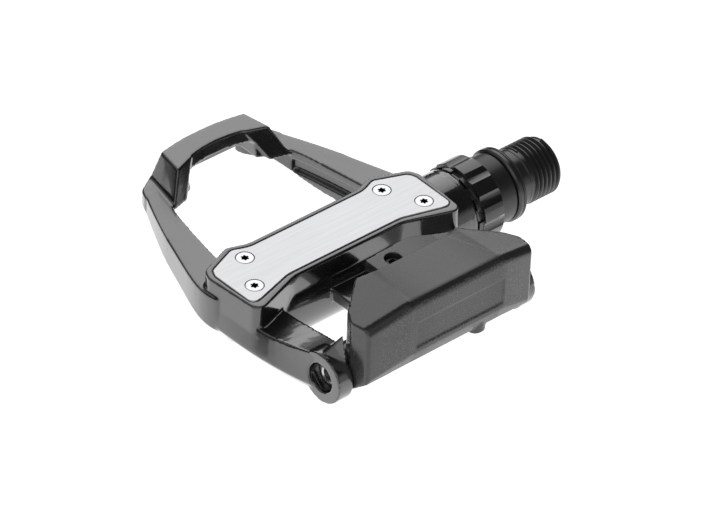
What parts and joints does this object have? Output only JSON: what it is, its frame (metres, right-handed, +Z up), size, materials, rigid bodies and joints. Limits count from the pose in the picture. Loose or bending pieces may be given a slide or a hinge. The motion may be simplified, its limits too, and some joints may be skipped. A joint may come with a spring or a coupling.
{
  "type": "clipless pedal",
  "caption": "Road clipless pedal with a cast body, toe hoop, steel wear plate, sprung rear claw and a threaded spindle on cartridge bearings.",
  "frame": {"origin": "middle of the top of the wear plate, where the sole of the shoe rests; the spindle axis runs 11 mm below it", "axes": "+X along the spindle towards the crank, +Y towards the toe hoop, +Z up to the shoe"},
  "size_m": [0.0971, 0.0862, 0.0322],
  "materials": {
    "body_paint": "gloss black over the cast alloy",
    "plate_steel": "brushed along the spindle",
    "screw_steel": "polished, with a dark recess",
    "spindle_black": "black oxide, satin",
    "bearing_steel": "ground and oiled",
    "ring_resin": "glass-filled black nylon",
    "seal_rubber": "matte",
    "axle_black": "black, satin",
    "claw_resin": "fine-grained carbon-filled resin",
    "pin_chrome": "polished",
    "spring_steel": "black oxide spring steel"
  },
  "bodies": {
    "pedal_frame": {"pedal_body": "body_paint", "wear_plate": "plate_steel", "plate_screws": "screw_steel", "ball_bearing_1_outer_race": "bearing_steel", "ball_bearing_2_outer_race": "bearing_steel", "needle_shell": "bearing_steel", "spacer_sleeve": "ring_resin", "lock_ring": "ring_resin", "lip_seal": "seal_rubber", "claw_pivot_pin": "pin_chrome", "pin_clip": "spring_steel", "torsion_spring_outer": "spring_steel", "torsion_spring_inner": "spring_steel"},
    "spindle_assembly": {"spindle": "spindle_black", "ball_bearing_1_inner_race": "bearing_steel", "ball_bearing_2_inner_race": "bearing_steel", "spindle_nut": "bearing_steel", "nut_washer": "bearing_steel", "axle_ring": "axle_black"},
    "ball_sets": {"ball_bearing_1_balls": "bearing_steel", "ball_bearing_2_balls": "bearing_steel"},
    "needle_set": {"needle_rollers": "bearing_steel"},
    "claw": {"rear_claw": "claw_resin", "claw_bushes": "ring_resin"},
    "tension_screw": {"tension_screw": "spring_steel"},
    "tension_plate": {"tension_plate": "spring_steel"}
  },
  "joints": [
    {"name": "spindle_spin", "type": "hinge", "parent": "pedal_frame", "child": "spindle_assembly", "pos_m": [0, 0, -0.011], "axis": [1, 0, 0], "continuous": true},
    {"name": "ball_orbit", "type": "hinge", "parent": "pedal_frame", "child": "ball_sets", "pos_m": [-0.0188, 0, -0.011], "axis": [1, 0, 0], "continuous": true},
    {"name": "needle_orbit", "type": "hinge", "parent": "pedal_frame", "child": "needle_set", "pos_m": [0.0278, 0, -0.011], "axis": [1, 0, 0], "continuous": true},
    {"name": "claw_open", "type": "hinge", "parent": "pedal_frame", "child": "claw", "pos_m": [0, -0.0317, -0.0071], "axis": [1, 0, 0], "range_deg": [0, 22], "stiffness_Nm_per_rad": 5, "springref_deg": -20.05, "deforming": ["torsion_spring_outer", "torsion_spring_inner"]},
    {"name": "tension_turn", "type": "hinge", "parent": "claw", "child": "tension_screw", "pos_m": [0.0018, -0.0203, 0.0015], "axis": [0, 0, 1], "range_deg": [0, 720]},
    {"name": "tension_travel", "type": "slide", "parent": "claw", "child": "tension_plate", "axis": [0, 0, 1], "range_m": [0, 0.0014], "deforming": ["torsion_spring_outer", "torsion_spring_inner"]}
  ],
  "couplings": [
    {"joint": "ball_orbit", "follows": "spindle_spin", "ratio": 0.4},
    {"joint": "needle_orbit", "follows": "spindle_spin", "ratio": 0.4231},
    {"joint": "tension_turn", "follows": "tension_travel", "rad_per_m": 8975.9}
  ]
}
